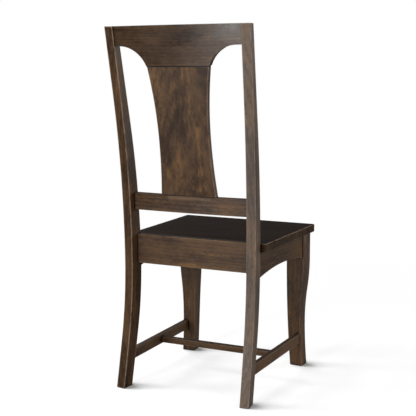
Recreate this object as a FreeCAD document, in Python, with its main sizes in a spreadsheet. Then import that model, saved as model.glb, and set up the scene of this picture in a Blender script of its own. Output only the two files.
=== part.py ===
import FreeCAD, Part
import math
import os

import Sketcher
from FreeCAD import Vector

# Splat-back dining chair in dark-stained wood, millimetres, +Z up.
# The chair faces -Y, stands on Z = 0 and is centred on the Z axis by its bounding box.
# Left and right are those of the person who sits on it, so the left side is +X.

# Driving dimensions. Angles are in degrees, everything else is in millimetres.
DIMENSIONS = {
    # Whole chair and its joints
    "total_height": 1068.0,
    "joint_gap": 0.2,
    "tenon_clearance": 0.2,
    "saw_allowance": 6.0,
    # Rear posts: one outline sawn from a plank, turned in plan and leaning outwards
    "post_half_spread": 210.5,
    "post_width": 28.0,
    "post_turn": 6.65,
    "post_lean": 0.42,
    "post_knee_depth": 45.1,
    "post_foot_depth": 40.5,
    "post_top_depth": 25.5,
    "post_foot_kick": 53.5,
    "post_top_rake": 72.5,
    "post_rear_knee_height": 389.0,
    "post_front_knee_height": 375.0,
    "post_rear_lower_bend": 128.0,
    "post_rear_upper_bend": 250.0,
    "post_front_lower_bend": 108.0,
    "post_front_upper_bend": 212.0,
    "post_edge_bevel": 0.8,
    # Front legs: sawn to a curve on two sides from a square blank
    "leg_half_spread": 220.3,
    "leg_reach": 366.0,
    "leg_turn": 2.5,
    "leg_width": 58.0,
    "leg_depth": 54.5,
    "leg_knee_height": 350.0,
    "leg_ankle_height": 150.0,
    "leg_side_inset": 11.0,
    "leg_front_inset": 9.5,
    "leg_side_flare": 5.7,
    "leg_front_flare": 3.5,
    "leg_inner_taper": 11.0,
    "leg_rear_taper": 9.0,
    "leg_taper_start": 350.0,
    "leg_edge_bevel": 1.2,
    # Seat panel, edge-glued from boards
    "seat_height": 455.3,
    "seat_thickness": 24.0,
    "seat_front_overhang": 9.2,
    "seat_rear_overhang": 12.0,
    "seat_depth": 396.0,
    "seat_post_gap": 1.5,
    "seat_edge_bevel": 1.6,
    "seat_corner_round": 6.0,
    # Rails under the seat
    "seat_rail_thickness": 20.0,
    "seat_rail_height": 75.0,
    "side_rail_arch": 15.5,
    "front_rail_arch": 15.5,
    "side_rail_rear_inset": 1.0,
    "side_rail_front_inset": 3.4,
    "front_rail_inset": 4.0,
    "rear_rail_thickness": 22.0,
    "rear_rail_height": 88.0,
    "rear_rail_lip": 4.2,
    "rail_edge_bevel": 0.8,
    # Back: crest rail, splat and lower back rail
    "crest_stem_height": 113.0,
    "crest_thickness": 20.0,
    "crest_end_height": 57.5,
    "crest_bow": 8.5,
    "crest_rear_inset": 3.5,
    "crest_stem_width": 196.0,
    "crest_cove_run": 83.0,
    "splat_thickness": 15.0,
    "splat_setback": 3.0,
    "splat_top_width": 194.5,
    "splat_waist_width": 159.5,
    "splat_foot_width": 177.5,
    "splat_waist_height": 750.0,
    "lower_rail_top": 585.5,
    "lower_rail_height": 50.3,
    "lower_rail_thickness": 20.0,
    "lower_rail_bow": 6.0,
    "lower_rail_inset": 0.5,
    "back_edge_bevel": 0.8,
    # Stretchers near the floor
    "side_stretcher_floor": 77.0,
    "side_stretcher_height": 31.0,
    "side_stretcher_thickness": 16.0,
    "side_stretcher_rear_inset": 5.7,
    "side_stretcher_front_inset": 12.3,
    "cross_stretcher_floor": 82.0,
    "cross_stretcher_height": 18.0,
    "cross_stretcher_thickness": 20.0,
    "cross_stretcher_reach": 186.9,
    "stretcher_edge_bevel": 0.8,
    # Tenons, tongues and dowels
    "back_tenon_length": 18.0,
    "back_tenon_thickness": 8.0,
    "crest_tenon_height": 34.0,
    "lower_tenon_height": 32.0,
    "stretcher_tenon_length": 18.0,
    "stretcher_tenon_height": 20.0,
    "stretcher_tenon_thickness": 8.0,
    "cross_tenon_length": 9.0,
    "cross_tenon_height": 11.0,
    "cross_tenon_thickness": 12.0,
    "tongue_length": 10.0,
    "tongue_thickness": 7.0,
    "tongue_shoulder": 12.0,
    "dowel_diameter": 9.5,
    "dowel_length": 36.0,
    "side_dowel_low": 376.0,
    "side_dowel_high": 415.0,
    "rear_dowel_low": 394.0,
    "rear_dowel_high": 440.0,
    # Corner blocks, screws and floor glides
    "block_height": 30.0,
    "block_reach": 58.0,
    "front_block_reach": 80.0,
    "block_tip": 9.0,
    "rear_screw_setting": 38.0,
    "front_screw_setting": 60.0,
    "rear_seat_screw_setting": 16.0,
    "front_seat_screw_setting": 38.0,
    "screw_length": 38.0,
    "screw_shank": 4.0,
    "screw_head": 8.0,
    "screw_head_height": 3.0,
    "glide_diameter": 22.0,
    "glide_height": 1.2,
    "glide_pin_diameter": 2.2,
    "glide_pin_length": 14.0,
}

SEAT_BOARD_COUNT = 4

# Flat sides of the fluted dowels, the screws' shanks and the holes for them, of the screws' heads
# and of the round feet of the floor glides
ROD_SIDES = 8
SCREW_HEAD_SIDES = 6
GLIDE_SIDES = 20


class Size:
    """A measure that carries both its number and its formula over the sheet's cells."""

    def __init__(self, number, formula):
        self.number = number
        self.formula = formula

    def __add__(self, other):
        other = as_size(other)
        return Size(self.number + other.number, f"({self.formula} + {other.formula})")

    def __sub__(self, other):
        other = as_size(other)
        return Size(self.number - other.number, f"({self.formula} - {other.formula})")

    def __mul__(self, other):
        other = as_size(other)
        return Size(self.number * other.number, f"({self.formula} * {other.formula})")

    def __truediv__(self, other):
        other = as_size(other)
        return Size(self.number / other.number, f"({self.formula} / {other.formula})")

    def __neg__(self):
        return Size(-self.number, f"(0 - {self.formula})")

    def __radd__(self, other):
        return as_size(other) + self

    def __rsub__(self, other):
        return as_size(other) - self

    def __rmul__(self, other):
        return as_size(other) * self


def as_size(value):
    """A plain number becomes a Size whose formula is that number."""
    if isinstance(value, Size):
        return value
    return Size(float(value), repr(float(value)))


def sine(angle):
    return Size(math.sin(math.radians(angle.number)), f"sin({angle.formula})")


def cosine(angle):
    return Size(math.cos(math.radians(angle.number)), f"cos({angle.formula})")


def tangent(angle):
    return Size(math.tan(math.radians(angle.number)), f"tan({angle.formula})")


def arctangent(slope):
    """The angle in degrees, as a plain number, of a slope."""
    return Size(math.degrees(math.atan(slope.number)), f"(atan({slope.formula}) / 1deg)")


def root(value):
    return Size(math.sqrt(value.number), f"sqrt({value.formula})")


doc = FreeCAD.newDocument("SplatBackChair")
sheet = doc.addObject("Spreadsheet::Sheet", "Sizes")


def fill_sheet():
    """Write every driving dimension in a cell of its own and return the sizes by name."""
    named = {}
    for row, (name, number) in enumerate(DIMENSIONS.items(), start=1):
        sheet.set(f"A{row}", name.replace("_", " "))
        sheet.set(f"B{row}", str(number))
        sheet.setAlias(f"B{row}", name)
        named[name] = Size(number, f"Sizes.{name}")
    doc.recompute()
    return named


size = fill_sheet()


# Helpers that make bound objects

def bind(thing, path, amount):
    """Tie one property of an object to a formula over the sheet."""
    thing.setExpression(path, as_size(amount).formula)


def place(thing, x=0, y=0, z=0, yaw=0, pitch=0, roll=0):
    """Bind an object's place and its turns about Z, Y and X."""
    amounts = {"Base.x": x, "Base.y": y, "Base.z": z,
               "Rotation.Yaw": yaw, "Rotation.Pitch": pitch, "Rotation.Roll": roll}
    for path, amount in amounts.items():
        bind(thing, "Placement." + path, amount)
    return thing


def placed_at(x, y, yaw, along, across):
    """The plan position of a point given in a frame that stands at x, y and is turned by yaw."""
    return (x + along * cosine(yaw) - across * sine(yaw),
            y + along * sine(yaw) + across * cosine(yaw))


def make_box(name, length, width, height):
    box = doc.addObject("Part::Box", name)
    bind(box, "Length", length)
    bind(box, "Width", width)
    bind(box, "Height", height)
    return box


def make_rod(name, sides, diameter, height):
    """A straight rod with flat sides; its diameter is measured over the corners."""
    rod = doc.addObject("Part::Prism", name)
    rod.Polygon = sides
    bind(rod, "Circumradius", diameter / 2)
    bind(rod, "Height", height)
    return rod


def gather(name, things):
    """One compound of several separate shapes."""
    compound = doc.addObject("Part::Compound", name)
    compound.Links = things
    return compound


def cut(name, base, tools):
    """The base less every tool."""
    result = doc.addObject("Part::Cut", name)
    result.Base = base
    result.Tool = tools[0] if len(tools) == 1 else gather(name + "_tools", tools)
    return result


def fuse(name, things):
    result = doc.addObject("Part::MultiFuse", name)
    result.Shapes = things
    return result


def common(name, base, tool):
    result = doc.addObject("Part::Common", name)
    result.Base = base
    result.Tool = tool
    return result


def mirror(name, source):
    """The same piece for the other side of the chair."""
    result = doc.addObject("Part::Mirroring", name)
    result.Source = source
    result.Normal = Vector(1, 0, 0)
    result.Base = Vector(0, 0, 0)
    return result


def new_sketch(body, name, role):
    sketch = body.newObject("Sketcher::SketchObject", name)
    plane = next(item for item in body.Origin.OriginFeatures if item.Role == role)
    sketch.AttachmentSupport = [(plane, "")]
    sketch.MapMode = "FlatFace"
    return sketch


def arc_between(start, end, radius):
    """A counter-clockwise arc in the sketch plane; a negative radius runs from end to start."""
    if radius < 0:
        start, end = end, start
    chord = end - start
    rise = math.sqrt(radius ** 2 - (chord.Length / 2) ** 2)
    left = Vector(-chord.y, chord.x, 0).normalize()
    centre = (start + end) * 0.5 + left * rise
    first = math.atan2(start.y - centre.y, start.x - centre.x)
    last = math.atan2(end.y - centre.y, end.x - centre.x)
    if last < first:
        last += 2 * math.pi
    return Part.ArcOfCircle(Part.Circle(centre, Vector(0, 0, 1), abs(radius)), first, last)


def draw_outline(sketch, corners, radii=None):
    """Draw a closed outline with every corner and radius bound to the sheet.

    radii gives, by the number of the corner where the side starts, the radius of each curved
    side: positive where it bends to the left of the way it runs, negative to the right.
    """
    radii = radii or {}
    points = [Vector(x.number, y.number, 0) for x, y in corners]
    first = sketch.GeometryCount
    for index, start in enumerate(points):
        end = points[(index + 1) % len(points)]
        if index in radii:
            sketch.addGeometry(arc_between(start, end, radii[index].number), False)
        else:
            sketch.addGeometry(Part.LineSegment(start, end), False)
    for index, (x, y) in enumerate(corners):
        side = first + index
        before = first + (index - 1) % len(corners)
        side_start = 2 if index in radii and radii[index].number < 0 else 1
        earlier = (index - 1) % len(corners)
        before_end = 1 if earlier in radii and radii[earlier].number < 0 else 2
        sketch.addConstraint(Sketcher.Constraint("Coincident", before, before_end, side, side_start))
        place_x = sketch.addConstraint(Sketcher.Constraint("DistanceX", side, side_start, x.number))
        bind(sketch, f"Constraints[{place_x}]", x)
        place_y = sketch.addConstraint(Sketcher.Constraint("DistanceY", side, side_start, y.number))
        bind(sketch, f"Constraints[{place_y}]", y)
        if index in radii:
            radius = radii[index] if radii[index].number > 0 else -radii[index]
            bend = sketch.addConstraint(Sketcher.Constraint("Radius", side, radius.number))
            bind(sketch, f"Constraints[{bend}]", radius)


def pad_body(name, role, corners, radii, length, back_length=None, reverse=False):
    """A body padded from one bound outline on one of its own origin planes."""
    body = doc.addObject("PartDesign::Body", name)
    sketch = new_sketch(body, name + "_outline", role)
    draw_outline(sketch, corners, radii)
    pad = body.newObject("PartDesign::Pad", name + "_pad")
    pad.Profile = sketch
    bind(pad, "Length", length)
    if back_length is not None:
        pad.SideType = "Two sides"
        bind(pad, "Length2", back_length)
    pad.Reversed = reverse
    return body


def dress_edges(body, kind, measure, amount, chosen):
    """Add a fillet or chamfer on those edges of a body's last feature for which chosen(edge) is true."""
    doc.recompute()
    last = body.Tip
    names = [f"Edge{number}" for number, edge in enumerate(last.Shape.Edges, start=1) if chosen(edge)]
    dressed = body.newObject("PartDesign::" + kind, body.Name + "_" + kind.lower())
    dressed.Base = (last, names)
    bind(dressed, measure, amount)
    return dressed


def round_edges(body, radius, chosen):
    return dress_edges(body, "Fillet", "Radius", radius, chosen)


def bevel_edges(body, width, chosen):
    return dress_edges(body, "Chamfer", "Size", width, chosen)


# Places that several pieces share

# The knee of the rear posts' back faces lies in the plane Y = knee_plane. It is set so that the
# front edge of the seat and the middle of the crest rail's top edge stand equally far from the middle.
post_top_reach = (size["post_top_rake"] * cosine(size["post_turn"])
                  + (size["post_width"] * cosine(size["post_lean"])
                     - size["total_height"] * sine(size["post_lean"])) * sine(size["post_turn"]))
crest_top_reach = post_top_reach - size["crest_rear_inset"] + size["crest_bow"]
seat_rear_reach = size["post_knee_depth"] + size["seat_post_gap"]
seat_front_reach = seat_rear_reach + size["seat_depth"]
knee_plane = (seat_front_reach - crest_top_reach) / 2

seat_rear = knee_plane - seat_rear_reach
seat_front = knee_plane - seat_front_reach
seat_bottom = size["seat_height"] - size["seat_thickness"]
rail_top = seat_bottom - size["joint_gap"]
rail_bottom = seat_bottom - size["seat_rail_height"]
post_yaw = 90 - size["post_turn"]
seat_front_width = 2 * (size["leg_half_spread"] + size["seat_front_overhang"])
seat_rear_width = 2 * (size["post_half_spread"] + size["seat_rear_overhang"])
splat_joint_height = size["total_height"] - size["crest_stem_height"]
wide = seat_front_width
foot_level = size["glide_height"]


def arch_radius(half_span, rise):
    """The radius of an arc that rises by rise over half_span from its level or plumb end."""
    return (half_span * half_span + rise * rise) / (2 * rise)


def post_outline(kick, rake, knee, lower_bend, upper_bend, offset, low, high):
    """Corners and curve radii of one long side of a post, from its foot to its top.

    Two straight stretches meet the plumb line at the knee in long arcs. Each arc reaches as far
    along both its straights as its bend says.
    """
    lower_meeting = knee - lower_bend
    upper_meeting = knee + upper_bend
    upper_run = size["total_height"] - upper_meeting
    lower_angle = arctangent(kick / lower_meeting)
    upper_angle = arctangent(rake / upper_run)
    corners = [
        (offset + kick * (lower_meeting - low) / lower_meeting, low),
        (offset + lower_bend * sine(lower_angle), lower_meeting - lower_bend * cosine(lower_angle)),
        (offset, knee),
        (offset + upper_bend * sine(upper_angle), upper_meeting + upper_bend * cosine(upper_angle)),
        (offset + rake * (high - upper_meeting) / upper_run, high),
    ]
    radii = [lower_bend / tangent(lower_angle / 2), upper_bend / tangent(upper_angle / 2)]
    return corners, radii


def post_rear_side(offset, low, high):
    return post_outline(size["post_foot_kick"], size["post_top_rake"], size["post_rear_knee_height"],
                        size["post_rear_lower_bend"], size["post_rear_upper_bend"], offset, low, high)


def post_front_side(offset, low, high):
    kick = size["post_foot_kick"] + size["post_knee_depth"] - size["post_foot_depth"]
    rake = size["post_top_rake"] + size["post_knee_depth"] - size["post_top_depth"]
    return post_outline(kick, rake, size["post_front_knee_height"], size["post_front_lower_bend"],
                        size["post_front_upper_bend"], offset - size["post_knee_depth"], low, high)


def place_as_post(thing):
    """Stand an object in the left post's own frame: X to the rear, Y inwards, Z up the post."""
    return place(thing, x=size["post_half_spread"], y=knee_plane, yaw=post_yaw, roll=size["post_lean"])


def place_as_leg(thing):
    """Stand an object at the outer rear corner of the left leg: X outwards, Y to the rear."""
    return place(thing, x=size["leg_half_spread"], y=knee_plane - size["leg_reach"], yaw=size["leg_turn"])


def post_point(rearward, inward, height):
    """Where a point given in the left post's frame lies in plan."""
    return placed_at(size["post_half_spread"], knee_plane, post_yaw, rearward,
                     inward * cosine(size["post_lean"]) - height * sine(size["post_lean"]))


def leg_point(outward, rearward):
    """Where a point given in the left leg's frame lies in plan."""
    return placed_at(size["leg_half_spread"], knee_plane - size["leg_reach"], size["leg_turn"],
                     outward, rearward)


# Trimming tools: what a saw takes off at the floor and the top, and the room of posts and legs

def make_height_slab():
    """The level layer of air that both posts and the crest rail are cut to."""
    slab = make_box("height_slab", 4 * wide, 4 * wide, size["total_height"] - foot_level)
    return place(slab, x=-2 * wide, y=-2 * wide, z=foot_level)


def make_post_side_room():
    """Everything outwards of the left post's inner face, so that rails end against that face."""
    low = -size["saw_allowance"]
    high = size["total_height"] + size["saw_allowance"]
    corners = [(-wide, low), (wide, low), (wide, high), (-wide, high)]
    body = pad_body("post_side_room", "XZ_Plane", corners, None, wide,
                    size["post_width"] + size["joint_gap"])
    return place_as_post(body)


def make_post_front_room():
    """Everything behind the left post's front face, so that side rails and stretchers end there."""
    low = -size["saw_allowance"]
    high = size["total_height"] + size["saw_allowance"]
    side, (lower, upper) = post_front_side(-size["joint_gap"], low, high)
    corners = side + [(wide, high), (wide, low)]
    body = pad_body("post_front_room", "XZ_Plane", corners, {1: -lower, 2: -upper}, wide, wide)
    return place_as_post(body)


def leg_rear_side(offset):
    """The rear side of a leg from its foot to its top: a slow curve under a plumb block."""
    corners = [(offset - size["leg_rear_taper"], foot_level), (offset, size["leg_taper_start"]),
               (offset, seat_bottom)]
    return corners, arch_radius(size["leg_taper_start"] - foot_level, size["leg_rear_taper"])


def make_leg_rear_room():
    """Everything in front of the left leg's rear face."""
    side, radius = leg_rear_side(size["joint_gap"])
    corners = side + [(-wide / 2, seat_bottom), (-wide / 2, foot_level)]
    body = pad_body("leg_rear_room", "YZ_Plane", corners, {0: radius}, wide / 2, wide / 2)
    return place_as_leg(body)


def make_leg_side_room():
    """Everything outwards of the left leg's inner face, above the taper."""
    room = make_box("leg_side_room", wide, wide, size["total_height"])
    x, y = leg_point(-size["leg_width"] - size["joint_gap"], -wide / 2)
    return place(room, x=x, y=y, yaw=size["leg_turn"])


def make_leg_block_room():
    """The square block at the top of the left leg, grown by the joint gap."""
    gap = size["joint_gap"]
    room = make_box("leg_block_room", size["leg_width"] + 2 * gap, size["leg_depth"] + 2 * gap,
                    size["total_height"])
    x, y = leg_point(-size["leg_width"] - gap, -size["leg_depth"] - gap)
    return place(room, x=x, y=y, yaw=size["leg_turn"])


# Faces of the posts at a height, and sections of the boards between them

def post_back_rake(height):
    """How far a height lies up the straight upper stretch of the posts' backs, as their rake there."""
    upper_meeting = size["post_rear_knee_height"] + size["post_rear_upper_bend"]
    return size["post_top_rake"] * (height - upper_meeting) / (size["total_height"] - upper_meeting)


def post_front_low(height):
    """The post's front face, in its own frame, on the straight stretch above the foot."""
    meeting = size["post_front_knee_height"] - size["post_front_lower_bend"]
    kick = size["post_foot_kick"] + size["post_knee_depth"] - size["post_foot_depth"]
    return kick * (meeting - height) / meeting - size["post_knee_depth"]


def post_front_bend(height):
    """The post's front face, in its own frame, on the long arc above the knee."""
    meeting = size["post_front_knee_height"] + size["post_front_upper_bend"]
    rake = size["post_top_rake"] + size["post_knee_depth"] - size["post_top_depth"]
    angle = arctangent(rake / (size["total_height"] - meeting))
    radius = size["post_front_upper_bend"] / tangent(angle / 2)
    rise = height - size["post_front_knee_height"]
    return radius - root(radius * radius - rise * rise) - size["post_knee_depth"]


def bowed_section(half_span, half_length, bow, thickness, rear_middle):
    """Plan section of a board that bows to the rear by bow over the span between the posts."""
    rear_radius = arch_radius(half_span, bow)
    front_radius = rear_radius - thickness
    centre = rear_middle - rear_radius
    front_end = centre + root(front_radius * front_radius - half_length * half_length)
    rear_end = centre + root(rear_radius * rear_radius - half_length * half_length)
    corners = [(-half_length, front_end), (half_length, front_end),
               (half_length, rear_end), (-half_length, rear_end)]
    return corners, {0: -front_radius, 2: rear_radius}


def grown(amount):
    """A size with the tenon clearance on both sides."""
    return amount + 2 * size["tenon_clearance"]


def is_long(least):
    """A test that picks the edges of a board that run its length."""
    def test(edge):
        return edge.Length > least
    return test


# Rear posts

def make_post_blank():
    """The left post before its mortises: an S-shaped outline sawn from a plank of even width."""
    low = -size["saw_allowance"]
    high = size["total_height"] + size["saw_allowance"]
    no_offset = as_size(0)
    rear, (rear_lower, rear_upper) = post_rear_side(no_offset, low, high)
    front, (front_lower, front_upper) = post_front_side(no_offset, low, high)
    corners = rear + front[::-1]
    radii = {1: -rear_lower, 2: -rear_upper, 6: front_upper, 7: front_lower}
    body = pad_body("post_blank", "XZ_Plane", corners, radii, size["post_width"], reverse=True)

    def runs_lengthwise(edge):
        return edge.BoundBox.ZLength > size["post_knee_depth"].number

    bevel_edges(body, size["post_edge_bevel"], runs_lengthwise)
    place_as_post(body)
    return common("post_sawn_to_length", body, height_slab)


# Front legs

def make_leg_blank():
    """The left front leg before its mortises, sawn to its knee and ankle from two sides."""
    top = seat_bottom - size["joint_gap"]
    middle = (size["leg_knee_height"] + size["leg_ankle_height"]) / 2
    half_drop = (size["leg_knee_height"] - size["leg_ankle_height"]) / 2
    foot_drop = size["leg_ankle_height"] - foot_level

    def ogee_radius(inset):
        return arch_radius(half_drop, inset / 2)

    front = -size["leg_depth"]
    front_ankle = front + size["leg_front_inset"]
    taper_drop = size["leg_taper_start"] - foot_level
    side_corners = [
        (-size["leg_rear_taper"], foot_level), (as_size(0), size["leg_taper_start"]), (as_size(0), top),
        (front, top), (front, size["leg_knee_height"]),
        (front + size["leg_front_inset"] / 2, middle), (front_ankle, size["leg_ankle_height"]),
        (front_ankle - size["leg_front_flare"], foot_level),
    ]
    side_radii = {0: arch_radius(taper_drop, size["leg_rear_taper"]),
                  4: ogee_radius(size["leg_front_inset"]), 5: -ogee_radius(size["leg_front_inset"]),
                  6: -arch_radius(foot_drop, size["leg_front_flare"])}
    body = pad_body("leg_blank", "YZ_Plane", side_corners, side_radii, size["leg_width"], reverse=True)

    ankle = -size["leg_side_inset"]
    inner = -size["leg_width"]
    front_corners = [
        (inner + size["leg_inner_taper"], foot_level), (ankle + size["leg_side_flare"], foot_level),
        (ankle, size["leg_ankle_height"]), (ankle / 2, middle), (as_size(0), size["leg_knee_height"]),
        (as_size(0), top), (inner, top), (inner, size["leg_taper_start"]),
    ]
    front_radii = {1: -arch_radius(foot_drop, size["leg_side_flare"]),
                   2: -ogee_radius(size["leg_side_inset"]), 3: ogee_radius(size["leg_side_inset"]),
                   7: arch_radius(taper_drop, size["leg_inner_taper"])}
    sketch = new_sketch(body, "leg_front_outline", "XZ_Plane")
    draw_outline(sketch, front_corners, front_radii)
    margin = size["leg_width"]
    frame = [(inner - margin, -margin), (margin, -margin), (margin, top + margin),
             (inner - margin, top + margin)]
    draw_outline(sketch, frame)
    pocket = body.newObject("PartDesign::Pocket", "leg_front_sawing")
    pocket.Profile = sketch
    pocket.SideType = "Two sides"
    pocket.Type = "ThroughAll"
    pocket.Type2 = "ThroughAll"

    def is_arris(edge):
        return edge.BoundBox.ZLength > size["leg_side_flare"].number * 2

    bevel_edges(body, size["leg_edge_bevel"], is_arris)
    return place_as_leg(body)


# Seat

def make_seat_panel():
    """The whole seat: a tapered panel with bevelled edges and rounded corners."""
    half_rear = seat_rear_width / 2
    half_front = seat_front_width / 2
    corners = [(-half_front, seat_front), (half_front, seat_front), (half_rear, seat_rear),
               (-half_rear, seat_rear)]
    body = pad_body("seat_panel", "XY_Plane", corners, None, size["seat_thickness"])

    def is_upright(edge):
        return edge.BoundBox.ZLength > size["seat_thickness"].number / 2

    def is_level(edge):
        return edge.BoundBox.ZLength < size["seat_thickness"].number / 2

    round_edges(body, size["seat_corner_round"], is_upright)
    bevel_edges(body, size["seat_edge_bevel"], is_level)
    return place(body, z=seat_bottom)


def make_seat_boards(panel, holes):
    """The panel's boards, one behind the other, with their grain across the seat."""
    pitch = size["seat_depth"] / SEAT_BOARD_COUNT
    boards = []
    for index in range(SEAT_BOARD_COUNT):
        strip = make_box(f"board_strip_{index + 1}", 2 * seat_front_width,
                         pitch - size["joint_gap"], size["seat_height"])
        place(strip, x=-seat_front_width, y=seat_front + size["joint_gap"] / 2 + index * pitch,
              z=seat_bottom - size["saw_allowance"])
        board = common(f"seat_board_{index + 1}_blank", panel, strip)
        boards.append(cut(f"seat_board_{index + 1}", board, holes))
    return boards


# Rails under the seat

class BoardFrame:
    """The frame of a board on the left side: X forwards along it, Y outwards, from its outer rear end."""

    def __init__(self, rear_end, front_end):
        self.x, self.y = rear_end
        across = front_end[0] - self.x
        ahead = self.y - front_end[1]
        self.yaw = arctangent(across / ahead) - 90
        self.length = root(across * across + ahead * ahead)
        self.slope = across / ahead

    def point(self, along, outward):
        return placed_at(self.x, self.y, self.yaw, along, outward)

    def place(self, thing, along=0, outward=0, z=0, pitch=0):
        x, y = self.point(as_size(along), as_size(outward))
        return place(thing, x=x, y=y, z=z, yaw=self.yaw, pitch=pitch)


def side_rail_frame():
    middle = rail_bottom + size["seat_rail_height"] / 2
    rear_end = post_point(-size["post_knee_depth"], size["side_rail_rear_inset"], middle)
    front_end = leg_point(-size["side_rail_front_inset"], as_size(0))
    return BoardFrame(rear_end, front_end)


def arched_outline(start, end, overrun, bottom, rise, top):
    """A board seen square on, with an arch in its lower edge between start and end."""
    corners = [(start - overrun, bottom), (start, bottom), (end, bottom), (end + overrun, bottom),
               (end + overrun, top), (start - overrun, top)]
    return corners, {1: -arch_radius((end - start) / 2, rise)}


def make_side_rail_blank():
    """The left side rail, arched below, its ends sawn to the post and the leg."""
    frame = side_rail
    corners, radii = arched_outline(as_size(0), frame.length, 2 * size["saw_allowance"], rail_bottom,
                                    size["side_rail_arch"], rail_top)
    body = pad_body("side_rail_blank", "XZ_Plane", corners, radii, size["seat_rail_thickness"])
    bevel_edges(body, size["rail_edge_bevel"], is_long(size["seat_rail_height"].number * 2))
    frame.place(body)
    return cut("side_rail_shouldered", body, [post_front_room, leg_rear_room])


def make_side_rail_room():
    """Everything outwards of the left side rail's inner face."""
    room = make_box("side_rail_room", 2 * wide, wide, size["total_height"])
    return side_rail.place(room, along=-wide / 2, outward=-size["seat_rail_thickness"] - size["joint_gap"])


def make_front_rail_blank():
    """The rail between the front legs, arched like the side rails."""
    corners, radii = arched_outline(-front_rail_half_span, front_rail_half_span,
                                    2 * size["saw_allowance"], rail_bottom, size["front_rail_arch"],
                                    rail_top)
    body = pad_body("front_rail_blank", "XZ_Plane", corners, radii, size["seat_rail_thickness"])
    bevel_edges(body, size["rail_edge_bevel"], is_long(size["seat_rail_height"].number * 2))
    place(body, y=front_rail_rear)
    return cut("front_rail_shouldered", body, leg_side_rooms)


def make_rear_rail_blank():
    """The deeper rail between the rear posts; its top edge stands just above the seat."""
    reach = size["post_half_spread"]
    rear = seat_rear + size["joint_gap"] + size["rear_rail_thickness"]
    front = seat_rear + size["joint_gap"]
    corners = [(-reach, front), (reach, front), (reach, rear), (-reach, rear)]
    body = pad_body("rear_rail_blank", "XY_Plane", corners, None, size["rear_rail_height"])
    bevel_edges(body, size["rail_edge_bevel"], is_long(size["rear_rail_height"].number * 2))
    place(body, z=rear_rail_bottom)
    return cut("rear_rail_shouldered", body, post_side_rooms)


# The back, in the raked frame that the crest rail and the splat share: X to the left, Y square out
# of the back of the crest rail and Z up along it, from the middle of the joint under the crest rail

def place_raked(thing, x=0, out=0, up=0):
    """Place an object in the raked frame of the back."""
    return place(thing, x=x, y=crest_joint_y + out * cosine(back_rake) + up * sine(back_rake),
                 z=splat_joint_height - out * sine(back_rake) + up * cosine(back_rake),
                 roll=-back_rake)


def make_crest_blank():
    """The crest rail: a bowed plank sawn to its coved lower edge, with shoulders at the posts."""
    half_length = crest_half_span + size["saw_allowance"]
    top = (size["total_height"] - splat_joint_height + size["saw_allowance"]) / cosine(back_rake)
    corners, radii = bowed_section(crest_half_span, half_length, size["crest_bow"],
                                   size["crest_thickness"], as_size(0))
    body = pad_body("crest_blank", "XY_Plane", corners, radii, top)
    sketch = new_sketch(body, "crest_outline", "XZ_Plane")
    stem = size["crest_stem_width"] / 2
    cove_end = stem + size["crest_cove_run"]
    margin = size["post_half_spread"] * 2
    draw_outline(sketch, [
        (-margin, -margin), (margin, -margin), (margin, crest_cove_rise), (cove_end, crest_cove_rise),
        (stem, as_size(0)), (-stem, as_size(0)), (-cove_end, crest_cove_rise), (-margin, crest_cove_rise),
    ], {3: arch_radius_of_cove, 5: arch_radius_of_cove})
    pocket = body.newObject("PartDesign::Pocket", "crest_sawing")
    pocket.Profile = sketch
    pocket.SideType = "Two sides"
    pocket.Type = "ThroughAll"
    pocket.Type2 = "ThroughAll"
    place_raked(body)
    level = common("crest_sawn_to_height", body, height_slab)
    return cut("crest_shouldered", level, post_side_rooms)


def make_crest_tenon(name, clearance):
    """The left tenon of the crest rail, or its mortise when clearance is given."""
    length = crest_tenon_overlap + size["back_tenon_length"] + clearance
    thickness = size["back_tenon_thickness"] + 2 * clearance
    height = size["crest_tenon_height"] + 2 * clearance
    tenon = make_box(name, length, thickness, height)
    middle = -size["crest_bow"] - size["crest_thickness"] / 2
    centre = crest_cove_rise + size["crest_end_height"] / 2
    return place_raked(tenon, x=crest_half_span - crest_tenon_overlap, out=middle - thickness / 2,
                       up=centre - height / 2)


def make_lower_rail_blank():
    """The lower back rail, bowed like the crest rail, with shoulders at the posts."""
    corners, radii = bowed_section(lower_rail_half_span, lower_rail_half_span + size["saw_allowance"],
                                   size["lower_rail_bow"], size["lower_rail_thickness"],
                                   lower_rail_rear)
    body = pad_body("lower_rail_blank", "XY_Plane", corners, radii, size["lower_rail_height"])
    bevel_edges(body, size["back_edge_bevel"], is_long(size["lower_rail_height"].number * 2))
    place(body, z=lower_rail_bottom)
    return cut("lower_rail_shouldered", body, post_side_rooms)


def make_lower_tenon(name, clearance):
    """The left tenon of the lower back rail, or its mortise when clearance is given."""
    length = crest_tenon_overlap + size["back_tenon_length"] + clearance
    thickness = size["back_tenon_thickness"] + 2 * clearance
    height = size["lower_tenon_height"] + 2 * clearance
    tenon = make_box(name, length, thickness, height)
    middle = lower_rail_rear - size["lower_rail_bow"] - size["lower_rail_thickness"] / 2
    return place(tenon, x=lower_rail_half_span - crest_tenon_overlap, y=middle - thickness / 2,
                 z=lower_rail_bottom + (size["lower_rail_height"] - height) / 2)


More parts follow.
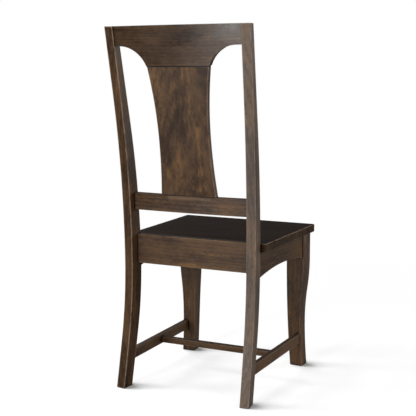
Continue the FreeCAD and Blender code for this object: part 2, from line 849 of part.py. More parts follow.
def make_splat_blank():
    """The vase-shaped splat, narrowest at its waist, between the crest rail and the lower rail."""
    top = -size["joint_gap"]
    bottom = -splat_length - size["saw_allowance"]
    waist = (size["splat_waist_height"] - splat_joint_height) / cosine(back_rake)
    half_top = size["splat_top_width"] / 2
    half_waist = size["splat_waist_width"] / 2
    half_foot = size["splat_foot_width"] / 2
    upper = -arch_radius(top - waist, half_top - half_waist)
    lower = -arch_radius(waist - bottom, half_foot - half_waist)
    corners = [(-half_foot, bottom), (half_foot, bottom), (half_waist, waist), (half_top, top),
               (-half_top, top), (-half_waist, waist)]
    body = pad_body("splat_blank", "XZ_Plane", corners, {1: lower, 2: upper, 4: upper, 5: lower},
                    size["splat_thickness"])

    def runs_up(edge):
        return edge.BoundBox.ZLength > size["splat_thickness"].number * 2

    bevel_edges(body, size["back_edge_bevel"], runs_up)
    place_raked(body, out=-size["splat_setback"])
    below = make_box("lower_rail_top_room", 2 * wide, 2 * wide, size["lower_rail_top"] + size["joint_gap"])
    place(below, x=-wide, y=-wide)
    return cut("splat_sawn_to_length", body, [below])


def make_tongue(name, width, up, clearance):
    """A tongue on an end of the splat, or its groove when clearance is given."""
    thickness = size["tongue_thickness"] + 2 * clearance
    height = 2 * size["tongue_length"] + 2 * clearance
    tongue = make_box(name, width + 2 * clearance, thickness, height)
    middle = -size["splat_setback"] - size["splat_thickness"] / 2
    return place_raked(tongue, x=-width / 2 - clearance, out=middle - thickness / 2, up=up - height / 2)


# Stretchers

def stretcher_frame():
    middle = size["side_stretcher_floor"] + size["side_stretcher_height"] / 2
    rear_end = post_point(post_front_low(middle), size["side_stretcher_rear_inset"], middle)
    drop = size["leg_taper_start"] - middle
    radius = leg_rear_side(as_size(0))[1]
    set_in = radius - root(radius * radius - drop * drop)
    front_end = leg_point(-size["side_stretcher_front_inset"], -set_in)
    return BoardFrame(rear_end, front_end)


def make_side_stretcher_blank():
    """The left side stretcher, its ends sawn to the post and the leg."""
    overrun = 2 * size["saw_allowance"]
    bottom = size["side_stretcher_floor"]
    top = bottom + size["side_stretcher_height"]
    frame = side_stretcher
    corners = [(-overrun, bottom), (frame.length + overrun, bottom), (frame.length + overrun, top),
               (-overrun, top)]
    body = pad_body("side_stretcher_blank", "XZ_Plane", corners, None, size["side_stretcher_thickness"])
    bevel_edges(body, size["stretcher_edge_bevel"], is_long(size["side_stretcher_height"].number * 2))
    frame.place(body)
    return cut("side_stretcher_shouldered", body, [post_front_room, leg_rear_room])


def make_stretcher_tenon(name, at_rear, clearance):
    """A tenon of the left side stretcher, or its mortise when clearance is given."""
    reach = size["stretcher_tenon_length"] + clearance
    length = 2 * reach
    thickness = size["stretcher_tenon_thickness"] + 2 * clearance
    height = size["stretcher_tenon_height"] + 2 * clearance
    tenon = make_box(name, length, thickness, height)
    shoulder = as_size(0) if at_rear else side_stretcher.length
    middle = -size["side_stretcher_thickness"] / 2
    z = size["side_stretcher_floor"] + (size["side_stretcher_height"] - height) / 2
    return side_stretcher.place(tenon, along=shoulder - reach, outward=middle - thickness / 2, z=z)


def make_cross_stretcher_blank():
    """The cross stretcher, its ends sawn to the inner faces of the side stretchers."""
    half_length = cross_half_span + size["saw_allowance"]
    half_width = size["cross_stretcher_thickness"] / 2
    corners = [(-half_length, -half_width), (half_length, -half_width), (half_length, half_width),
               (-half_length, half_width)]
    body = pad_body("cross_stretcher_blank", "XY_Plane", corners, None, size["cross_stretcher_height"])
    bevel_edges(body, size["stretcher_edge_bevel"], is_long(size["cross_stretcher_height"].number * 2))
    place(body, y=cross_stretcher_y, z=size["cross_stretcher_floor"])
    room = make_box("side_stretcher_room", 2 * wide, wide / 2, size["total_height"] / 2)
    side_stretcher.place(room, along=-wide / 2,
                         outward=-size["side_stretcher_thickness"] - size["joint_gap"])
    return cut("cross_stretcher_shouldered", body, [room, mirror("side_stretcher_room_right", room)])


def make_cross_tenon(name, clearance):
    """The left tenon of the cross stretcher, or its mortise when clearance is given."""
    length = 2 * (size["cross_tenon_length"] + clearance)
    thickness = size["cross_tenon_thickness"] + 2 * clearance
    height = size["cross_tenon_height"] + 2 * clearance
    tenon = make_box(name, length, thickness, height)
    z = size["cross_stretcher_floor"] + (size["cross_stretcher_height"] - height) / 2
    return place(tenon, x=cross_half_span - length / 2, y=cross_stretcher_y - thickness / 2, z=z)


# Dowels, corner blocks, screws and glides

def make_dowel(name, clearance):
    return make_rod(name, ROD_SIDES, size["dowel_diameter"] + 2 * clearance,
                    size["dowel_length"] + 2 * clearance)


def make_dowels(name, clearance):
    """The dowels of the left side, or their holes: at the side rail's ends, the front and the rear rail."""
    half_length = size["dowel_length"] / 2 + clearance
    rail_middle = -size["seat_rail_thickness"] / 2
    dowels = []
    for level in ("low", "high"):
        height = size["side_dowel_" + level]
        for end, shoulder in (("rear", as_size(0)), ("front", side_rail.length)):
            dowel = make_dowel(f"{name}_side_{end}_{level}", clearance)
            side_rail.place(dowel, along=shoulder - half_length, outward=rail_middle, z=height, pitch=90)
            dowels.append(dowel)
        dowel = make_dowel(f"{name}_front_{level}", clearance)
        place(dowel, x=front_rail_half_span - half_length,
              y=front_rail_rear + rail_middle, z=height, pitch=90)
        dowels.append(dowel)
        dowel = make_dowel(f"{name}_rear_{level}", clearance)
        place(dowel, x=rear_rail_half_span - half_length,
              y=seat_rear + size["joint_gap"] + size["rear_rail_thickness"] / 2,
              z=size["rear_dowel_" + level], pitch=90)
        dowels.append(dowel)
    return dowels


class Corner:
    """An inner corner of the seat frame on the left side, measured inwards from both its rails."""

    def __init__(self, name, x, y, ahead, reach, rail_screw, seat_screw):
        self.name = name
        self.x = x
        self.y = y
        self.ahead = ahead
        self.reach = reach
        self.rail_screw = rail_screw
        self.seat_screw = seat_screw

    def point(self, inwards, along):
        """A place by its distance from the side rail and from the front or rear rail."""
        return self.x - inwards, self.y + self.ahead * along


def make_corner_block(corner, rooms, holes):
    """A three-sided block glued into a corner under the seat, its tips cut off."""
    tip = size["block_tip"]
    reach = corner.reach
    corners = [corner.point(-tip, as_size(0)), corner.point(reach, as_size(0)),
               corner.point(reach, tip), corner.point(tip, reach), corner.point(-tip, reach)]
    body = pad_body(f"{corner.name}_blank", "XY_Plane", corners, None, size["block_height"])
    place(body, z=rail_top - size["block_height"])
    return cut(corner.name, body, rooms + holes)


def make_screw(name):
    """A hexagon-head wood screw that points up its own Z axis, from under its head."""
    head = make_rod(name + "_head", SCREW_HEAD_SIDES, size["screw_head"], size["screw_head_height"])
    place(head, z=-size["screw_head_height"])
    shank = make_rod(name + "_shank", ROD_SIDES, size["screw_shank"], size["screw_length"])
    return fuse(name, [head, shank])


def make_screw_hole(name):
    """The stepped hole that clears a screw: wide below the head and narrow round the shank."""
    depth = size["front_block_reach"]
    wide_part = make_rod(name + "_wide", ROD_SIDES, grown(size["screw_head"]), depth)
    place(wide_part, z=-depth)
    narrow_part = make_rod(name + "_narrow", ROD_SIDES, grown(size["screw_shank"]),
                           size["screw_length"] + size["tenon_clearance"])
    return fuse(name, [wide_part, narrow_part])


def place_screw(thing, corner, kind):
    """Set a screw or its hole in a corner block: into the side rail, the end rail or the seat."""
    middle = rail_top - size["block_height"] / 2
    seat = corner.reach + size["block_tip"] - corner.rail_screw - 2 * size["screw_head_height"]
    holder = doc.addObject("Part::Compound", thing.Name + "_set")
    holder.Links = [thing]
    if kind == "side":
        x, y = corner.point(seat, corner.rail_screw)
        return place(holder, x=x, y=y, z=middle, pitch=90)
    if kind == "end":
        x, y = corner.point(corner.rail_screw, seat)
        return place(holder, x=x, y=y, z=middle, roll=90 * corner.ahead)
    x, y = corner.point(*corner.seat_screw)
    return place(holder, x=x, y=y, z=rail_top - size["block_height"] + size["screw_head_height"])


def make_glide(name, x, y):
    """A nail-on floor glide: a low round foot with a pin that goes up into the leg."""
    foot = make_rod(name + "_foot", GLIDE_SIDES, size["glide_diameter"],
                    size["glide_height"] - size["joint_gap"])
    place(foot, x=x, y=y)
    pin = make_rod(name + "_pin", ROD_SIDES, size["glide_pin_diameter"], size["glide_pin_length"])
    place(pin, x=x, y=y)
    return fuse(name, [foot, pin])


def make_glide_hole(name, x, y):
    hole = make_rod(name, ROD_SIDES, grown(size["glide_pin_diameter"]),
                    size["glide_pin_length"] + size["tenon_clearance"])
    return place(hole, x=x, y=y)


# Worked-out places of rails, back and stretchers

height_slab = make_height_slab()
post_side_room = make_post_side_room()
post_side_rooms = [post_side_room, mirror("post_side_room_right", post_side_room)]
post_front_room = make_post_front_room()
leg_rear_room = make_leg_rear_room()
leg_side_room = make_leg_side_room()
leg_side_rooms = [leg_side_room, mirror("leg_side_room_right", leg_side_room)]
leg_block_room = make_leg_block_room()

side_rail = side_rail_frame()
side_stretcher = stretcher_frame()
front_rail_half_span, front_rail_front = leg_point(-size["leg_width"],
                                                   size["front_rail_inset"] - size["leg_depth"])
front_rail_rear = front_rail_front + size["seat_rail_thickness"]
rear_rail_bottom = size["seat_height"] + size["rear_rail_lip"] - size["rear_rail_height"]
rear_rail_half_span = post_point(-size["post_knee_depth"] / 2, size["post_width"], size["seat_height"])[0]

back_rake = arctangent(post_back_rake(splat_joint_height + 1) - post_back_rake(splat_joint_height))
joint_corner_y = post_point(post_back_rake(splat_joint_height), size["post_width"],
                            splat_joint_height)[1]
crest_joint_y = joint_corner_y - size["crest_rear_inset"] + size["crest_bow"]
crest_middle_height = size["total_height"] - size["crest_end_height"] / 2
crest_half_span = post_point(post_back_rake(crest_middle_height) - size["post_top_depth"] / 2,
                             size["post_width"], crest_middle_height)[0]
crest_cove_rise = (size["total_height"] - size["crest_end_height"] - splat_joint_height) / cosine(
    back_rake)
arch_radius_of_cove = arch_radius(size["crest_cove_run"], crest_cove_rise)
crest_tenon_overlap = size["back_tenon_length"]
splat_length = (splat_joint_height - size["lower_rail_top"]) / cosine(back_rake)

lower_rail_bottom = size["lower_rail_top"] - size["lower_rail_height"]
lower_rail_middle = lower_rail_bottom + size["lower_rail_height"] / 2
lower_rail_half_span, lower_rail_front = post_point(post_front_bend(lower_rail_middle),
                                                    size["post_width"], lower_rail_middle)
lower_rail_rear = (lower_rail_front + size["lower_rail_inset"] + size["lower_rail_thickness"]
                   + size["lower_rail_bow"])

cross_stretcher_y = knee_plane - size["cross_stretcher_reach"]
cross_half_span = (side_stretcher.x + side_stretcher.slope * (side_stretcher.y - cross_stretcher_y)
                   - size["side_stretcher_thickness"])


# The pieces, by node name

pieces = {}


def both_sides(name, left):
    """Keep a left piece and its mirror image."""
    pieces[name + "_left"] = left
    pieces[name + "_right"] = mirror(name + "_right", left)


clearance = size["tenon_clearance"]
no_clearance = as_size(0)


def build_chair():
    dowels = make_dowels("dowel", no_clearance)
    dowel_holes = make_dowels("dowel_hole", clearance)
    dowels_right = mirror("dowels_right", gather("dowels_left", dowels))
    holes_right = mirror("dowel_holes_right", gather("dowel_holes_left", dowel_holes))
    pieces["seat_rail_dowels"] = gather("seat_rail_dowels", dowels + [dowels_right])

    post_foot_x, post_foot_y = post_point(size["post_foot_kick"] - size["post_foot_depth"] / 2,
                                          size["post_width"] / 2, foot_level)
    leg_foot_x, leg_foot_y = leg_point(
        (size["leg_inner_taper"] - size["leg_width"] - size["leg_side_inset"] + size["leg_side_flare"]) / 2,
        (size["leg_front_inset"] - size["leg_front_flare"] - size["leg_depth"] - size["leg_rear_taper"]) / 2)

    crest_mortise = make_crest_tenon("crest_mortise", clearance)
    lower_mortise = make_lower_tenon("lower_rail_mortise", clearance)
    rear_mortise = make_stretcher_tenon("stretcher_rear_mortise", True, clearance)
    front_mortise = make_stretcher_tenon("stretcher_front_mortise", False, clearance)
    post_cuts = [crest_mortise, lower_mortise, rear_mortise,
                 make_glide_hole("post_glide_hole", post_foot_x, post_foot_y)] + dowel_holes
    both_sides("rear_post", cut("rear_post_left", make_post_blank(), post_cuts))
    leg_cuts = [front_mortise, make_glide_hole("leg_glide_hole", leg_foot_x, leg_foot_y)] + dowel_holes
    both_sides("front_leg", cut("front_leg_left", make_leg_blank(), leg_cuts))

    crest_tenon = make_crest_tenon("crest_tenon", no_clearance)
    crest_fused = fuse("crest_with_tenons", [make_crest_blank(), crest_tenon,
                                             mirror("crest_tenon_right", crest_tenon)])
    tongue_width = size["splat_waist_width"] - 2 * size["tongue_shoulder"]
    crest_groove = make_tongue("crest_groove", tongue_width, no_clearance, clearance)
    pieces["crest_rail"] = cut("crest_rail", crest_fused, [crest_groove])

    lower_tenon = make_lower_tenon("lower_rail_tenon", no_clearance)
    lower_fused = fuse("lower_rail_with_tenons", [make_lower_rail_blank(), lower_tenon,
                                                  mirror("lower_rail_tenon_right", lower_tenon)])
    lower_groove = make_tongue("lower_rail_groove", tongue_width, -splat_length, clearance)
    pieces["lower_back_rail"] = cut("lower_back_rail", lower_fused, [lower_groove])

    upper_tongue = make_tongue("upper_tongue", tongue_width, no_clearance, no_clearance)
    lower_tongue = make_tongue("lower_tongue", tongue_width, -splat_length, no_clearance)
    pieces["back_splat"] = fuse("back_splat", [make_splat_blank(), upper_tongue, lower_tongue])

    side_x = side_rail.point(as_size(0), -size["seat_rail_thickness"] - size["joint_gap"])[0]
    front_side_x = side_rail.point(side_rail.length, -size["seat_rail_thickness"] - size["joint_gap"])[0]
    rear_corner = Corner("corner_block_rear_left", side_x, seat_rear, -1, size["block_reach"],
                         size["rear_screw_setting"],
                         (size["rear_seat_screw_setting"], size["rear_seat_screw_setting"]))
    front_corner = Corner("corner_block_front_left", front_side_x, front_rail_rear + size["joint_gap"], 1,
                          size["front_block_reach"], size["front_screw_setting"],
                          (size["front_seat_screw_setting"], size["front_seat_screw_setting"]))
    corners = [rear_corner, front_corner]
    side_rail_room = make_side_rail_room()
    screws = {}
    for corner in corners:
        for kind in ("side", "end", "seat"):
            name = f"{corner.name}_{kind}"
            screws[corner.name, kind] = place_screw(make_screw(name + "_screw"), corner, kind)
            screws[corner.name, kind, "hole"] = place_screw(make_screw_hole(name + "_hole"), corner, kind)
    seat_holes = gather("seat_holes_left", [screws[corner.name, "seat", "hole"] for corner in corners])
    seat_holes_right = mirror("seat_holes_right", seat_holes)

    for corner, place_name in zip(corners, ("rear", "front")):
        holes = [screws[corner.name, kind, "hole"] for kind in ("side", "end", "seat")]
        block = make_corner_block(corner, [side_rail_room, leg_block_room], holes)
        both_sides(f"corner_block_{place_name}", block)
    left = [screws[corner.name, kind] for corner in corners for kind in ("side", "end")]
    right = mirror("block_screws_right", gather("block_screws_left", left))
    pieces["corner_block_screws"] = gather("corner_block_screws", left + [right])
    left = [screws[corner.name, "seat"] for corner in corners]
    right = mirror("seat_screws_right", gather("seat_screws_left", left))
    pieces["seat_screws"] = gather("seat_screws", left + [right])

    side_cuts = dowel_holes + [screws[corner.name, "side", "hole"] for corner in corners]
    both_sides("side_seat_rail", cut("side_seat_rail_left", make_side_rail_blank(), side_cuts))
    end_holes = gather("end_screw_holes_left", [screws[corner.name, "end", "hole"] for corner in corners])
    end_cuts = dowel_holes + [holes_right, end_holes, mirror("end_screw_holes_right", end_holes)]
    pieces["front_seat_rail"] = cut("front_seat_rail", make_front_rail_blank(), end_cuts)
    pieces["rear_seat_rail"] = cut("rear_seat_rail", make_rear_rail_blank(), end_cuts)
    for index, board in enumerate(make_seat_boards(make_seat_panel(), [seat_holes, seat_holes_right])):
        pieces[f"seat_board_{index + 1}"] = board

    rear_tenon = make_stretcher_tenon("stretcher_rear_tenon", True, no_clearance)
    front_tenon = make_stretcher_tenon("stretcher_front_tenon", False, no_clearance)
    cross_mortise = make_cross_tenon("cross_mortise", clearance)
    stretcher = fuse("side_stretcher_with_tenons", [make_side_stretcher_blank(), rear_tenon, front_tenon])
    both_sides("side_stretcher", cut("side_stretcher_left", stretcher, [cross_mortise]))
    cross_tenon = make_cross_tenon("cross_tenon", no_clearance)
    pieces["cross_stretcher"] = fuse("cross_stretcher", [make_cross_stretcher_blank(), cross_tenon,
                                                         mirror("cross_tenon_right", cross_tenon)])

    both_sides("floor_glide_rear", make_glide("floor_glide_rear_left", post_foot_x, post_foot_y))
    both_sides("floor_glide_front", make_glide("floor_glide_front_left", leg_foot_x, leg_foot_y))


def check_document():
    """Stop if any object failed or any piece is empty or broken."""
    for thing in doc.Objects:
        if "Invalid" in thing.State or "Error" in thing.State:
            raise RuntimeError(f"{thing.Name} failed: {thing.State}")
    for name, piece in pieces.items():
        if piece.Shape.isNull() or not piece.Shape.isValid() or not piece.Shape.Solids:
            raise RuntimeError(f"{name} has no valid solid")


def write_pieces():
    os.makedirs("parts", exist_ok=True)
    for name, piece in pieces.items():
        piece.Label = name
        piece.Shape.exportStep(f"parts/{name}.step")


build_chair()
doc.recompute()
check_document()
write_pieces()
print(len(pieces), "pieces")
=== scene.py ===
import math
import random
from collections import namedtuple

import bpy
from mathutils import Matrix, Vector


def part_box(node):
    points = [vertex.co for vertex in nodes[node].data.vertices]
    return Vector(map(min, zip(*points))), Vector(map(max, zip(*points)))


# Splat-back dining chair in dark-stained, lightly rubbed wood, seen from behind on a pale floor.
# Metres, +Z up; the chair faces -Y and its left side is +X.

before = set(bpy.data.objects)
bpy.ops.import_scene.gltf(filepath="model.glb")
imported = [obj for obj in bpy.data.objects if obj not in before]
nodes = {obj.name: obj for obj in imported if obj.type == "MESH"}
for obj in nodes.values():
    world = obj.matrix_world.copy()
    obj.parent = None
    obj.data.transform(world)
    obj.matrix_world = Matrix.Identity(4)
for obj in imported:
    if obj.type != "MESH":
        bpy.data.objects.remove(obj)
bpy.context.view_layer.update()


# Camera

IMAGE_SIZE = 416
FOCAL_LENGTH_IN_PIXELS = 948.65
SENSOR_WIDTH = 36.0

CAMERA_PLACE = Vector((-1.2385, 2.5816, 0.9533))
CAMERA_YAW = 2.6868
CAMERA_PITCH = -0.14755
CAMERA_ROLL = -0.00329


def make_camera():
    """The photograph's viewing point. Yaw is measured in radians from +Y towards +X."""
    level = math.cos(CAMERA_PITCH)
    ahead = Vector((math.sin(CAMERA_YAW) * level, math.cos(CAMERA_YAW) * level, math.sin(CAMERA_PITCH)))
    right = Vector((math.cos(CAMERA_YAW), -math.sin(CAMERA_YAW), 0))
    up = right.cross(ahead)
    turn = Matrix((right, up, -ahead)).transposed() @ Matrix.Rotation(CAMERA_ROLL, 3, "Z")
    data = bpy.data.cameras.new("camera")
    data.sensor_width = SENSOR_WIDTH
    data.lens = FOCAL_LENGTH_IN_PIXELS / IMAGE_SIZE * SENSOR_WIDTH
    camera = bpy.data.objects.new("camera", data)
    camera.matrix_world = Matrix.Translation(CAMERA_PLACE) @ turn.to_4x4()
    bpy.context.scene.collection.objects.link(camera)
    bpy.context.scene.camera = camera


# Shader helpers

# Sockets of the Mix node where it mixes colours, by number because several share a name
MIX_SHARE = 0
MIX_FIRST = 6
MIX_SECOND = 7
MIX_RESULT = 2

OCCLUSION_SAMPLES = 8

# A layer of noise: its scale along the grain as a share of that across, its scale across in 1/m, and
# its detail, roughness and distortion
Layer = namedtuple("Layer", "along across detail roughness distortion", defaults=(0.5, 0.0))


class Shader:
    """The node tree of a material or world, with short calls for the nodes that the finishes use."""

    def __init__(self, owner):
        owner.use_nodes = True
        self.tree = owner.node_tree
        self.tree.nodes.clear()

    def node(self, kind, *values, settings=None, **inputs):
        """A new node. Values fill its sockets in order, and inputs by name, with _ for a space."""
        made = self.tree.nodes.new(kind)
        for name, value in (settings or {}).items():
            setattr(made, name, value)
        for socket, value in zip(made.inputs, values):
            self.set(socket, value)
        for name, value in inputs.items():
            self.set(made.inputs[name.replace("_", " ")], value)
        return made

    def set(self, socket, value):
        """Links the socket to another node's output, or gives it a plain value."""
        if isinstance(value, bpy.types.NodeSocket):
            self.tree.links.new(value, socket)
        else:
            socket.default_value = value

    def here(self):
        """The point on the piece, in metres."""
        return self.node("ShaderNodeTexCoord").outputs["Object"]

    def height(self, vector):
        """A point's or direction's Z."""
        return self.node("ShaderNodeSeparateXYZ", Vector=vector).outputs["Z"]

    def upward(self):
        """How far the face looks up: 1 is level, 0 upright and -1 an underside."""
        return self.height(self.node("ShaderNodeNewGeometry").outputs["Normal"])

    def mapped(self, source, place=(0, 0, 0), turn=(0, 0, 0), scale=(1, 1, 1)):
        return self.node("ShaderNodeMapping", Vector=source, Location=place, Rotation=turn,
                         Scale=scale).outputs["Vector"]

    def noise(self, source, layer):
        """A layer of noise, drawn out along the source's Z."""
        return self.node("ShaderNodeTexNoise", Vector=self.mapped(source, scale=(1, 1, layer.along)),
                         Scale=layer.across, Detail=layer.detail, Roughness=layer.roughness,
                         Distortion=layer.distortion).outputs["Fac"]

    def openness(self, reach, inside=False, samples=OCCLUSION_SAMPLES, **inputs):
        """1 where nothing lies within reach of the surface, less near corners and other pieces."""
        settings = {"inside": inside, "only_local": inside, "samples": samples}
        return self.node("ShaderNodeAmbientOcclusion", settings=settings, Distance=reach,
                         **inputs).outputs["AO"]

    def math(self, operation, *values):
        return self.node("ShaderNodeMath", *values, settings={"operation": operation}).outputs["Value"]

    def plus(self, first, second):
        return self.math("ADD", first, second)

    def minus(self, first, second):
        return self.math("SUBTRACT", first, second)

    def times(self, first, second):
        return self.math("MULTIPLY", first, second)

    def ramp(self, value, low, high, to_low=0.0, to_high=1.0):
        """The value moved from one range to another, smoothly and without leaving it."""
        return self.node("ShaderNodeMapRange", settings={"interpolation_type": "SMOOTHSTEP"}, Value=value,
                         From_Min=low, From_Max=high, To_Min=to_low, To_Max=to_high).outputs["Result"]

    def grey(self, value):
        return self.node("ShaderNodeCombineColor", Red=value, Green=value, Blue=value).outputs["Color"]

    def mix(self, share, first, second, kind="MIX"):
        """A mix of two colours."""
        made = self.node("ShaderNodeMix", settings={"data_type": "RGBA", "blend_type": kind})
        self.set(made.inputs[MIX_SHARE], share)
        self.set(made.inputs[MIX_FIRST], first)
        self.set(made.inputs[MIX_SECOND], second)
        return made.outputs[MIX_RESULT]

    def blend(self, share, first, second):
        """A mix of two shaders."""
        return self.node("ShaderNodeMixShader", share, first.outputs[0], second.outputs[0])

    def bump(self, height, strength, depth):
        return self.node("ShaderNodeBump", Strength=strength, Distance=depth,
                         Height=height).outputs["Normal"]

    def glossy(self, **inputs):
        """The material's surface, as one principled shader."""
        surface = self.node("ShaderNodeBsdfPrincipled", **inputs)
        self.node("ShaderNodeOutputMaterial", Surface=surface.outputs["BSDF"])


def colour(red, green, blue):
    """An opaque colour from its linear parts."""
    return (red, green, blue, 1.0)


# Stains

# A stain's colours in the pores, on plain wood, where it is rubbed thin and on its pale arrises (partly
# bare wood, partly painted highlight), with its specular level and least roughness
Stain = namedtuple("Stain", "deep body warm worn shine roughness")

STAINS = {
    "frame": Stain(deep=colour(0.0250, 0.0118, 0.0058), body=colour(0.1000, 0.0530, 0.0235),
                   warm=colour(0.2350, 0.1120, 0.0360), worn=colour(0.36, 0.24, 0.155),
                   shine=0.25, roughness=0.36),
    "dark": Stain(deep=colour(0.0170, 0.0084, 0.0040), body=colour(0.0690, 0.0355, 0.0150),
                  warm=colour(0.2100, 0.0980, 0.0320), worn=colour(0.40, 0.29, 0.20),
                  shine=0.32, roughness=0.24),
    # A darker copy of the frame stain, partly painted shade on the left post and the side seat rails
    "brown": Stain(deep=colour(0.0200, 0.0095, 0.0045), body=colour(0.0850, 0.0430, 0.0170),
                   warm=colour(0.2100, 0.0980, 0.0320), worn=colour(0.40, 0.29, 0.20),
                   shine=0.16, roughness=0.40),
    # A lighter, shinier copy of the frame stain, partly a painted sheen on the right post
    "pale": Stain(deep=colour(0.0360, 0.0200, 0.0120), body=colour(0.1450, 0.0900, 0.0520),
                  warm=colour(0.2600, 0.1350, 0.0560), worn=colour(0.36, 0.24, 0.155),
                  shine=0.40, roughness=0.34),
    "seat": Stain(deep=colour(0.0125, 0.0066, 0.0042), body=colour(0.058, 0.032, 0.0175),
                  warm=colour(0.140, 0.070, 0.030), worn=colour(0.36, 0.25, 0.17),
                  shine=0.06, roughness=0.42),
}


# Figure of the wood

# Turns that lay a texture's Z along the grain
GRAIN_TURN = {
    "x": (0, -math.pi / 2, 0),
    "y": (math.pi / 2, 0, 0),
    "z": (0, 0, 0),
}

STAINED_LAYERS = {
    "fine": Layer(0.035, 520.0, 5.0, 0.62),
    "bands": Layer(0.035, 75.0, 3.0, 0.55, 0.3),
    "pores": Layer(0.03, 1500.0, 1.0),
    "blotches": Layer(0.35, 19.0, 3.0, 0.52, 0.3),
    "mottle": Layer(0.45, 170.0, 3.0, 0.55, 0.5),
    "patches": Layer(0.11, 42.0, 4.0, 0.60, 0.4),
    "chips": Layer(0.40, 60.0, 5.0, 0.70),
}

# Most of a noise's values lie in the first range about its middle, and only its peaks in the second
NOISE_MIDDLE = 0.5
NOISE_RANGE = (0.3, 0.7)
PEAK_RANGE = (0.45, 0.70)

# How much each layer adds to the figure, and what is taken off so that blotches and mottle darken it as
# much as they lighten it
FIGURE_SHARES = {"bands": 0.38, "fine": 0.38, "rings": 0.10, "blotches": 0.95, "mottle": 0.55}
FIGURE_OFFSET = -NOISE_MIDDLE * (FIGURE_SHARES["blotches"] + FIGURE_SHARES["mottle"])

# Where in the noise a board may start, and how far the pith of its tree may lie from the chair's axis
BOARD_SHIFT = (-3, 3)
PITH_ACROSS = (0.03, 0.07)
PITH_DEEP = (0.05, 0.09)
RINGS_PER_METRE = 35.0
RINGS_ALONG = 0.10


def random_place(rng):
    """Where in the noise a board starts."""
    return [rng.uniform(*BOARD_SHIFT) for _ in range(3)]


def growth_rings(shader, along_grain, rng):
    """Wavering rings about the pith of the tree that the piece was sawn from."""
    pith = (rng.uniform(*PITH_ACROSS), rng.uniform(*PITH_DEEP), 0)
    trunk = shader.mapped(along_grain, place=pith, scale=(1, 1, RINGS_ALONG))
    return shader.node("ShaderNodeTexWave", settings={"wave_type": "RINGS", "rings_direction": "Z"},
                       Vector=trunk, Scale=RINGS_PER_METRE, Distortion=7.0, Detail=3.0,
                       Detail_Scale=0.5).outputs["Fac"]


# Wear, painted highlight and painted shade

# Figure over which the stain turns from deep to plain, and noise and figure over which it is rubbed thin
TONE_RANGE = (0.12, 0.74)
RUBBED_PATCHES = (0.48, 0.74)
RUBBED_FIGURE = (0.30, 0.60)

# Noise over which pores come in, and over which the pale arrises, partly worn and partly painted
# highlight, break into chips
PORE_RANGE = (0.60, 0.70)
CHIP_RANGE = (0.28, 0.56)

# How far a face looks up where it is darkened with painted shade, where it is one of the seat's bevels,
# and where it is level
TOP_SHADE_RANGE = (0.55, 0.95)
SLOPING_RANGE = (0.12, 0.40)
LEVEL_RANGE = (0.80, 0.97)

# How thin the wood is at an arris, and how open the surface is where arrises turn pale and where painted
# shade ends
EDGE_REACH = 0.005
EDGE_RANGE = (0.12, 0.40)
OUTSIDE_REACH = 0.009
WEAR_AND_HIGHLIGHT_RANGE = (0.74, 0.94)
UNSHADED_RANGE = (0.50, 0.95)

# How far from a joint's line its painted shade starts to fade and has faded
SEAM_RANGE = (0.0010, 0.0026)

# How much colour the painted shade leaves in the closest corners and along the joints
CORNER_SHADE_COLOUR = 0.10
SEAM_SHADE_COLOUR = 0.12

# How much deeper the stain lies in the pores, and how much painted shade darkens the faces that look up
PORE_SHARE = 0.4
TOP_SHADE_SHARE = 0.75

# How much rougher the wood is on blotches and in pores
BLOTCH_ROUGHNESS = 0.12
PORE_ROUGHNESS = 0.15

# How high the relief of the wood is, and how much of it streaks stand out and pores lie in
WOOD_BUMP = 0.0003
FINE_RELIEF = 0.6
PORE_RELIEF = 0.5


def convex_edge(shader):
    """1 on a piece's arrises, falling to 0 a few millimetres from them."""
    thinness = shader.minus(1.0, shader.openness(EDGE_REACH, inside=True))
    return shader.ramp(thinness, *EDGE_RANGE)


def bevelled_rim(shader, upward):
    """1 on the seat's sloping bevels only, because the joints between its boards are flush and unworn."""
    slope = shader.math("ABSOLUTE", upward)
    unlevel = shader.ramp(slope, *LEVEL_RANGE, to_low=1.0, to_high=0.0)
    return shader.times(shader.ramp(slope, *SLOPING_RANGE), unlevel)


def seam_shade(shader, here, seam_height):
    """Painted shade: dark within a millimetre or two of a level joint and 1 elsewhere."""
    away = shader.math("ABSOLUTE", shader.minus(shader.height(here), seam_height))
    return shader.ramp(away, *SEAM_RANGE, to_low=SEAM_SHADE_COLOUR)


# Materials

